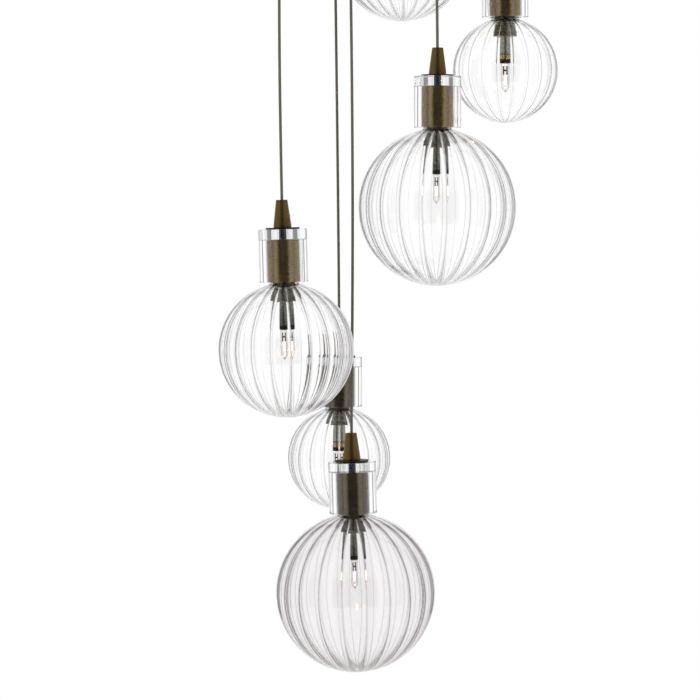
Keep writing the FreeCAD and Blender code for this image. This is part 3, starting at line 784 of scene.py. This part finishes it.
def bulb_meshes():
    """The pieces of a two-pin capsule bulb: name, mesh, material and the node each stands for."""
    top = -BULB_TOP
    low = top - BULB_LENGTH + BULB_TIP_LENGTH
    waist = low + BULB_RADIUS
    inner = BULB_RADIUS - BULB_WALL
    outline = [(inner, top), (inner, waist)]
    outline += dome(inner, waist)
    outline += [(0.0, low - BULB_TIP_LENGTH), (BULB_TIP_END_RADIUS, low - BULB_TIP_LENGTH + 0.5),
                (BULB_TIP_END_RADIUS + 0.2, low - 0.6)]
    outline += [point for point in reversed(dome(BULB_RADIUS, waist)) if point[0] > BULB_TIP_ROOT]
    outline += [(BULB_RADIUS, waist), (BULB_RADIUS, top)]
    return (
        ("bulb_envelope", lathe("bulb_envelope", outline, 0.4, 64, 3), "bulb_glass", "bulb"),
        ("bulb_base", pressed_base(top), "bulb_glass", None),
        ("bulb_pins", pins_mesh(top), "zinc_steel", None),
        ("filament", filament_mesh(top), "filament", None),
        ("filament_legs", filament_legs(top), "dark_wire", None),
    )


def dome(radius, waist):
    """Points down a half round end, from just under its waist to its pole."""
    steps = 12
    points = []
    for n in range(1, steps):
        angle = math.pi / 2 * n / steps
        points.append((radius * math.cos(angle), waist - radius * math.sin(angle)))
    return points + [(0.0, waist - radius)]


def pressed_base(top):
    """The flat pressed end of the envelope, with rounded edges."""
    edit = bmesh.new()
    bmesh.ops.create_cube(edit, size=1.0)
    for vertex in edit.verts:
        vertex.co.x *= BASE_WIDTH * MM
        vertex.co.y *= BASE_THICKNESS * MM
        vertex.co.z = (vertex.co.z * BASE_HEIGHT + top + BASE_HEIGHT / 2) * MM
    bmesh.ops.bevel(edit, geom=edit.edges[:], offset=BASE_BEVEL * MM, segments=3, profile=0.5,
                    affect="EDGES")
    mesh = bpy.data.meshes.new("bulb_base")
    edit.to_mesh(mesh)
    edit.free()
    mesh.polygons.foreach_set("use_smooth", [True] * len(mesh.polygons))
    return mesh


def tube_along(points, radius, sides):
    """A tube in metres along points in millimetres, closed at both ends: its vertices and faces."""
    vertices = []
    side_axis = None
    for n, point in enumerate(points):
        ahead = points[min(n + 1, len(points) - 1)]
        behind = points[max(n - 1, 0)]
        along = (ahead - behind).normalized()
        if side_axis is None:
            side_axis = along.orthogonal().normalized()
        side_axis = (side_axis - along * side_axis.dot(along)).normalized()
        other = along.cross(side_axis)
        for angle in even_angles(sides):
            place = point + (side_axis * math.cos(angle) + other * math.sin(angle)) * radius
            vertices.append(tuple(c * MM for c in place))
    faces = ring_faces(len(points), sides)
    last = (len(points) - 1) * sides
    faces.append(tuple(reversed(range(sides))))
    faces.append(tuple(range(last, last + sides)))
    return vertices, faces


def bars_mesh(name, groups):
    """Round bars in one mesh, from groups of bars and their radius; a bar is its ends in millimetres."""
    vertices = []
    faces = []
    for bars, radius in groups:
        for ends in bars:
            new_vertices, new_faces = tube_along([Vector(end) for end in ends], radius, 12)
            faces += [tuple(v + len(vertices) for v in face) for face in new_faces]
            vertices += new_vertices
    mesh = mesh_from(name, vertices, faces)
    mesh.set_sharp_from_angle(angle=math.radians(40))
    return mesh


def pins_mesh(top):
    """The bulb's two round pins."""
    low = top + BASE_HEIGHT
    pins = [((x, 0.0, low), (x, 0.0, low + PIN_LENGTH)) for x in (-PIN_SPACING / 2, PIN_SPACING / 2)]
    return bars_mesh("bulb_pins", ((pins, PIN_RADIUS),))


def filament_mesh(top):
    """A fine coil of glowing wire, upright on the bulb's axis."""
    per_turn = 14
    steps = FILAMENT_TURNS * per_turn
    coil_top = top - FILAMENT_DROP
    points = []
    for n in range(steps + 1):
        angle = 2 * math.pi * n / per_turn
        points.append(Vector((FILAMENT_RADIUS * math.cos(angle), FILAMENT_RADIUS * math.sin(angle),
                              coil_top - FILAMENT_LENGTH * n / steps)))
    vertices, faces = tube_along(points, FILAMENT_WIRE_RADIUS, 6)
    return mesh_from("filament", vertices, faces)


def filament_legs(top):
    """The dark mount in the bulb: two stout legs and a bridge, and the thin wires to the filament."""
    coil_top = top - FILAMENT_DROP
    coil_low = coil_top - FILAMENT_LENGTH
    leg_top = top - BULB_PLUG
    leg_low = coil_top + LEG_GAP
    bridge = (leg_top + leg_low) / 2
    stout = [((side * LEG_SPREAD, 0.0, leg_top), (side * LEG_SPREAD, 0.0, leg_low)) for side in (-1, 1)]
    stout.append(((-LEG_SPREAD, 0.0, bridge), (LEG_SPREAD, 0.0, bridge)))
    bow = LEG_SPREAD + WIRE_BOW
    thin = [((-LEG_SPREAD, 0.0, leg_low), (-FILAMENT_RADIUS, 0.0, coil_top)),
            ((LEG_SPREAD, 0.0, leg_low), (bow, 0.0, coil_low)),
            ((bow, 0.0, coil_low), (FILAMENT_RADIUS, 0.0, coil_low))]
    return bars_mesh("filament_legs", ((stout, LEG_RADIUS), (thin, WIRE_RADIUS)))


def gland_place(number):
    """The middle of the rubber bush in a pendant's gland."""
    low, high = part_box("swing_bush_%d" % number)
    return (low + high) / 2


def cord_route(number, gland, matrix):
    """The cord's points in metres: gland, route, then into the grip and down the head's axis."""
    points = [Vector((gland.x, gland.y, CORD_TOP * MM))]
    points += [Vector((gland.x + off * MM, gland.y, z * MM)) for off, z in ROUTES[number]]
    points.append(matrix @ Vector((0.0, 0.0, 0.0)))
    points.append(matrix @ Vector((0.0, 0.0, -CORD_END * MM)))
    return points


def smooth_line(points):
    """Points read from a NURBS spline with the route's points as its control points."""
    curve = bpy.data.curves.new("route", "CURVE")
    curve.dimensions = "3D"
    curve.resolution_u = 48
    spline = curve.splines.new("NURBS")
    spline.points.add(len(points) - 1)
    for target, point in zip(spline.points, points):
        target.co = (*point, 1.0)
    spline.order_u = 3
    spline.use_endpoint_u = True
    carrier = add_object("route", curve)
    bpy.context.view_layer.update()
    read = bpy.data.meshes.new_from_object(carrier)
    line = [vertex.co.copy() for vertex in read.vertices]
    bpy.data.objects.remove(carrier)
    bpy.data.meshes.remove(read)
    return line


def even_points(line, gap):
    """Points at even gaps along a line."""
    spots = [0.0]
    for first, second in zip(line, line[1:]):
        spots.append(spots[-1] + (second - first).length)
    count = max(2, round(spots[-1] / gap))
    points = []
    at = 0
    for n in range(count + 1):
        wanted = spots[-1] * n / count
        while at < len(line) - 2 and spots[at + 1] < wanted:
            at += 1
        share = (wanted - spots[at]) / (spots[at + 1] - spots[at])
        points.append(line[at].lerp(line[at + 1], share))
    return points


def cord_mesh(name, line):
    """A cord with a slightly twisted jacket along a line, on a map with U round it and V in metres."""
    sides = CORD_SIDES
    vertices = []
    gap = (line[1] - line[0]).length
    for n, point in enumerate(line):
        for angle in even_angles(sides):
            wave = math.cos(CORD_STRANDS * (angle - 2 * math.pi * n * gap / (CORD_LAY * MM)))
            r = (CORD_RADIUS - CORD_RELIEF * (1.0 - wave) / 2) * MM
            vertices.append((point.x + r * math.cos(angle), point.y + r * math.sin(angle), point.z))
    faces = [tuple(reversed(face)) for face in ring_faces(len(line), sides)]
    last = (len(line) - 1) * sides
    faces.append(tuple(range(sides)))
    faces.append(tuple(reversed(range(last, last + sides))))
    mesh = mesh_from(name, vertices, faces)
    layer = mesh.uv_layers.new(name="UVMap")
    for polygon in mesh.polygons:
        for loop in polygon.loop_indices:
            row, k = divmod(mesh.loops[loop].vertex_index, sides)
            wrap = k == 0 and polygon.index % sides == sides - 1
            layer.data[loop].uv = (k / sides + (1.0 if wrap else 0.0), row * gap)
    return mesh


def build_cord(number, gland, matrix):
    """The cord of a pendant, along the path that it follows."""
    name = "cord_line_%d" % number
    line = even_points(smooth_line(cord_route(number, gland, matrix)), CORD_STEP * MM)
    piece = place_piece(name, cord_mesh(name, line), "cord_jacket", "pendant_%d" % number,
                        "cord_%d" % number)


def numbered(name, number):
    """A piece's or node's name on one pendant, or None where there is none."""
    return "%s_%d" % (name, number) if name else None


def build_pendant(number, shared, bulb, globes):
    """One pendant: the pieces of its head, its bulb, globe, cord and rubber bush."""
    matrix = head_matrix(number)
    gland = gland_place(number)
    for label, mesh, material, slot, stands_for in shared:
        # Painted shade: some pendants take the darker copy of this material.
        if number in PAINTED_SHADE_ON.get(label, ()):
            material += "_dark"
        place_piece(numbered(label + "_piece" if stands_for else label, number), mesh, material,
                    "pendant_%d" % number, numbered(stands_for, number), matrix)
    for label, mesh, material, stands_for in bulb:
        place_piece(numbered(label, number), mesh, material, "lamp_%d" % number,
                    numbered(stands_for, number), matrix)
    turn = Matrix.Rotation(math.radians(-90.0 + RIB_TURN[number]), 4, "Z")
    glass = globes[SIZE_OF[number], RIB_STRENGTH[number]]
    place_piece("ribbed_globe_%d" % number, glass, GLASS_OF.get(number, "globe_glass"),
                "shade_%d" % number, "globe_%d" % number, matrix @ turn)
    build_cord(number, gland, matrix)
    bush = lathe("bush_%d" % number, tube_outline(BUSH_RADIUS, BUSH_BORE_RADIUS, -BUSH_HEIGHT / 2,
                                                   BUSH_HEIGHT / 2), 0.5, 48)
    place_piece("bush_piece_%d" % number, bush, "bush_rubber", "bush_%d" % number,
                "swing_bush_%d" % number, Matrix.Translation(gland))


# ---------------------------------------------------------------- canopy

def build_canopy():
    """The canopy with its glands, nuts and screws, and the finishes of its plate and terminal block."""
    wall = CANOPY_WALL
    dish = lathe("canopy_dish", (
        (0.0, CANOPY_FACE), (CANOPY_RADIUS, CANOPY_FACE, CANOPY_CORNER), (CANOPY_RADIUS, CANOPY_TOP, 0.5),
        (CANOPY_RADIUS - wall, CANOPY_TOP, 0.5),
        (CANOPY_RADIUS - wall, CANOPY_FACE + wall, CANOPY_CORNER - wall), (0.0, CANOPY_FACE + wall)),
        0.5, 256, 8)
    place_piece("canopy_dish", dish, "canopy_brass", "canopy", "canopy_shell")
    gland = lathe("gland", gland_outline(), 0.3, 64)
    nut = hexagon("gland_nut", NUT_FLATS, GLAND_SHANK_RADIUS, CANOPY_FACE + wall,
                  CANOPY_FACE + wall + NUT_HEIGHT)
    for number in PENDANT_NUMBERS:
        middle = gland_place(number)
        place = Matrix.Translation(Vector((middle.x, middle.y, 0.0)))
        for label, mesh, stands_for in (("gland", gland, "cord_glands"), ("gland_nut", nut, "gland_nuts")):
            place_piece(numbered(label, number), mesh, "fitting_brass", "canopy",
                        stands_for if number == PENDANT_NUMBERS[0] else None, place)
    screw = knurled_screw()
    for n, angle in enumerate(SCREW_ANGLES):
        place = (Matrix.Rotation(math.radians(angle), 4, "Z")
                 @ Matrix.Translation((CANOPY_RADIUS * MM, 0.0, SCREW_DROP * MM))
                 @ Matrix.Rotation(math.radians(90.0), 4, "Y"))
        place_piece(numbered("rim_screw", n + 1), screw, "fitting_brass", "canopy",
                    "rim_screws" if n == 0 else None, place)
    for name, material in (("ceiling_plate", "zinc_steel"), ("terminal_block", "block_plastic")):
        cad_piece = frame["nodes"][name]
        cad_piece.data.materials.clear()
        cad_piece.data.materials.append(MATERIALS[material])


def gland_outline():
    """The outline of a cord gland, from its bore's top round to its mouth."""
    face = CANOPY_FACE
    nose_end = face - GLAND_FLANGE - GLAND_NOSE
    return (
        (GLAND_BORE_RADIUS, face + GLAND_SHANK), (GLAND_BORE_RADIUS, nose_end + GLAND_LIP),
        (GLAND_MOUTH_RADIUS, nose_end + GLAND_LIP), (GLAND_MOUTH_RADIUS, nose_end),
        (GLAND_NOSE_END_RADIUS, nose_end, 0.8), (GLAND_NOSE_RADIUS, face - GLAND_FLANGE, 0.4),
        (GLAND_FLANGE_RADIUS, face - GLAND_FLANGE, 0.8), (GLAND_FLANGE_RADIUS, face),
        (GLAND_SHANK_RADIUS, face), (GLAND_SHANK_RADIUS, face + GLAND_SHANK),
    )


def knurled_screw():
    """A screw along Z: a plain shank below its origin and a knurled head above."""
    sides = 96
    knurls = 24
    rows = ((0.0, -SCREW_SHANK, 0.0), (SCREW_SHANK_RADIUS - 0.4, -SCREW_SHANK, 0.0),
            (SCREW_SHANK_RADIUS, -SCREW_SHANK + 0.4, 0.0), (SCREW_SHANK_RADIUS, 0.0, 0.0),
            (SCREW_HEAD_RADIUS - 0.5, 0.0, 0.0), (SCREW_HEAD_RADIUS - 0.1, 0.5, 0.5),
            (SCREW_HEAD_RADIUS, 0.8, 1.0), (SCREW_HEAD_RADIUS, SCREW_HEAD - 0.8, 1.0),
            (SCREW_HEAD_RADIUS - 0.1, SCREW_HEAD - 0.4, 0.5), (SCREW_HEAD_RADIUS - 0.7, SCREW_HEAD, 0.0),
            (0.0, SCREW_HEAD, 0.0))
    depth = 0.28
    vertices = []
    for r, z, knurl in rows:
        for angle in even_angles(sides):
            wave = abs(math.sin(knurls * angle / 2))
            vertices.append(about_z(r - depth * knurl * (1.0 - wave), angle, z))
    mesh = mesh_from("rim_screw", vertices, ring_faces(len(rows), sides))
    edit = bmesh.new()
    edit.from_mesh(mesh)
    bmesh.ops.remove_doubles(edit, verts=edit.verts[:], dist=1e-6)
    edit.to_mesh(mesh)
    edit.free()
    mesh.set_sharp_from_angle(angle=math.radians(30))
    return mesh


# ---------------------------------------------------------------- stage

def build_floor():
    """A pale round floor well below the lamp."""
    mesh = lathe("floor", rod_outline(FLOOR_RADIUS / MM, (FLOOR_HEIGHT - FLOOR_THICKNESS) / MM,
                                      FLOOR_HEIGHT / MM), 2.0, 96)
    tree, shader = new_material("floor", Roughness=0.9)
    grain = noise(tree, (6.0,) * 3, 4.0, 0.5)
    tree.links.new(ramp(tree, grain, ((0.3, (0.86, 0.86, 0.85)), (0.7, (0.9, 0.9, 0.89)))),
                   shader.inputs["Base Color"])
    mesh.materials.append(MATERIALS["floor"])
    add_object("floor", mesh)


def build_world():
    """White to the camera and matt surfaces; glass and metal show a white studio with dark gaps."""
    world = bpy.data.worlds.new("studio")
    world.use_nodes = True
    bpy.context.scene.world = world
    tree = world.node_tree
    tree.nodes.clear()
    direction = node(tree, "ShaderNodeTexCoord").outputs["Generated"]
    part = node(tree, "ShaderNodeSeparateXYZ", {"Vector": direction})
    azimuth = math_node(tree, "ARCTAN2", part.outputs["X"], part.outputs["Y"])
    ripple = math_node(tree, "COSINE", math_node(tree, "MULTIPLY", azimuth, GAPS))
    gap_place = remap(tree, ripple, 0.0, 1.0, -1.0, 1.0)
    gap_dark = ramp(tree, gap_place, ((0.0, (GAP_LEVEL,) * 3), (GAP_SHARE, (GAP_LEVEL,) * 3),
                                      (GAP_SHARE + SHOULDER, (SHOULDER_LEVEL,) * 3),
                                      (0.5, (SHOULDER_LEVEL,) * 3), (0.7, (1.0,) * 3)))
    front = math_node(tree, "COSINE", azimuth)
    front_dark = remap(tree, front, FRONT_LEVEL, 1.0, *FRONT_EDGE, "SMOOTHSTEP")
    path = node(tree, "ShaderNodeLightPath")
    bounced = math_node(tree, "GREATER_THAN", path.outputs["Glossy Depth"], 0.5)
    front_share = node(tree, "ShaderNodeMix",
                       {"Factor": bounced, "A": 1.0, "B": front_dark}).outputs["Result"]
    level = math_node(tree, "MULTIPLY", gap_dark, front_share)
    level = math_node(tree, "MULTIPLY", level, STUDIO_LEVEL)
    straight = math_node(tree, "MAXIMUM", path.outputs["Is Camera Ray"], path.outputs["Is Diffuse Ray"])
    seen = node(tree, "ShaderNodeMix", {"Factor": straight, "A": level, "B": 1.0}).outputs["Result"]
    background = node(tree, "ShaderNodeBackground", {"Color": (1.0, 1.0, 1.0, 1.0), "Strength": seen})
    output = node(tree, "ShaderNodeOutputWorld")
    tree.links.new(background.outputs["Background"], output.inputs["Surface"])


def build_lights():
    """Two large soft lamps, above at the left and right, that light the object but don't show."""
    for name, place, power, size in LAMPS:
        light = bpy.data.lights.new(name, "AREA")
        light.shape = "DISK"
        light.size = size
        light.energy = power
        lamp = add_object(name, light)
        lamp.location = place
        aim = Vector(LAMP_AIM) - Vector(place)
        lamp.rotation_euler = aim.to_track_quat("-Z", "Y").to_euler()
        lamp.visible_camera = False
        lamp.visible_transmission = False
        lamp.visible_glossy = False


def build_camera():
    """The photograph's camera."""
    data = bpy.data.cameras.new("camera")
    data.sensor_width = SENSOR_WIDTH
    data.lens = FOCAL_PIXELS / PHOTO_PIXELS * SENSOR_WIDTH
    data.clip_start = 0.05
    data.clip_end = 50.0
    camera = add_object("camera", data)
    turn = (Matrix.Rotation(math.radians(90.0 - CAMERA_PITCH), 4, "X")
            @ Matrix.Rotation(math.radians(-CAMERA_ROLL), 4, "Z"))
    camera.matrix_world = Matrix.Translation(CAMERA_PLACE) @ turn
    bpy.context.scene.camera = camera


def main():
    """Build everything."""
    scene = bpy.context.scene
    scene.view_settings.view_transform = "Standard"
    scene.cycles.max_bounces = 32
    scene.cycles.transmission_bounces = 32
    scene.cycles.glossy_bounces = 12
    scene.cycles.transparent_max_bounces = 16
    build_materials()
    build_camera()
    build_world()
    build_lights()
    build_floor()
    build_canopy()
    shared = head_meshes()
    bulb = bulb_meshes()
    kinds = sorted({(SIZE_OF[number], RIB_STRENGTH[number]) for number in PENDANT_NUMBERS})
    globes = {kind: globe_mesh(*kind) for kind in kinds}
    for number in PENDANT_NUMBERS:
        build_pendant(number, shared, bulb, globes)


main()
